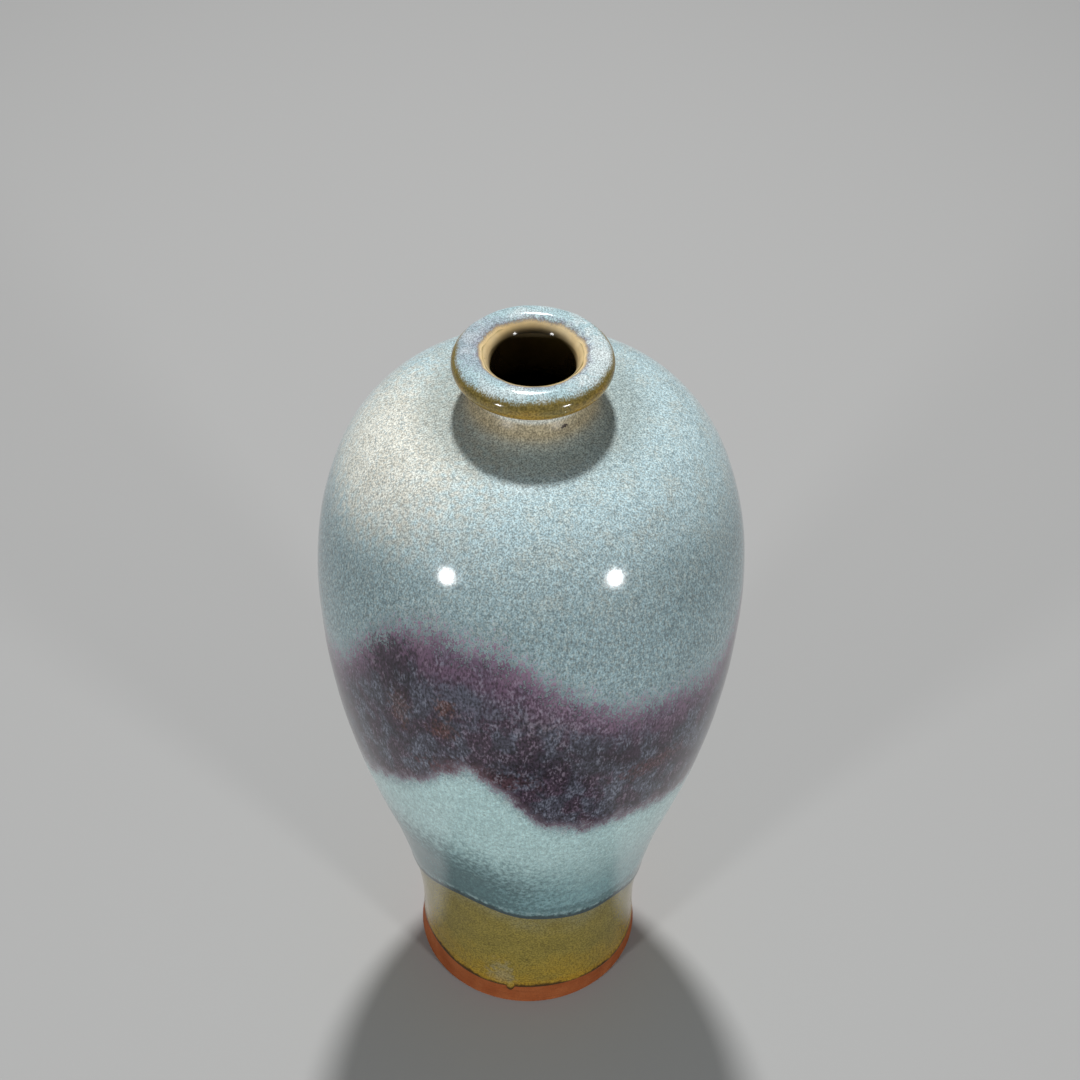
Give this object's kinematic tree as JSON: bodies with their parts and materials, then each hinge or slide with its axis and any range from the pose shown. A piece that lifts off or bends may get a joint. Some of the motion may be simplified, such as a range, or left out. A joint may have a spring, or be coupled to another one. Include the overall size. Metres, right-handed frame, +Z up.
{
  "type": "meiping vase",
  "caption": "High-shouldered stoneware vase with a small rolled mouth and a waisted foot, in sky-blue glaze with a purple splash, for holding a flowering branch.",
  "frame": {"origin": "middle of the foot, on the plane that the foot ring rests on", "axes": "+Z up along the vase's axis; -Y towards the side that the picture shows; +X to that side's right"},
  "size_m": [0.148, 0.148, 0.3],
  "materials": {
    "stoneware": "bare brick-red fired stoneware",
    "slip": "fired joining slip of the same clay",
    "lining_glaze": "thin amber-brown gloss glaze",
    "olive_glaze": "thin olive-brown gloss glaze, golden where it gathers",
    "blue_glaze": "thick sky-blue opalescent gloss glaze, finely mottled",
    "copper_splash": "purple copper-red gloss glaze, streaked and feathered"
  },
  "bodies": {
    "root": {"lower_body": "stoneware", "upper_body": "stoneware", "neck_and_lip": "stoneware", "belly_slip_joint": "slip", "neck_slip_joint": "slip", "lining_glaze": "lining_glaze", "olive_glaze": "olive_glaze", "blue_glaze": "blue_glaze", "lip_glaze": "blue_glaze", "copper_splash": "copper_splash"}
  },
  "joints": []
}
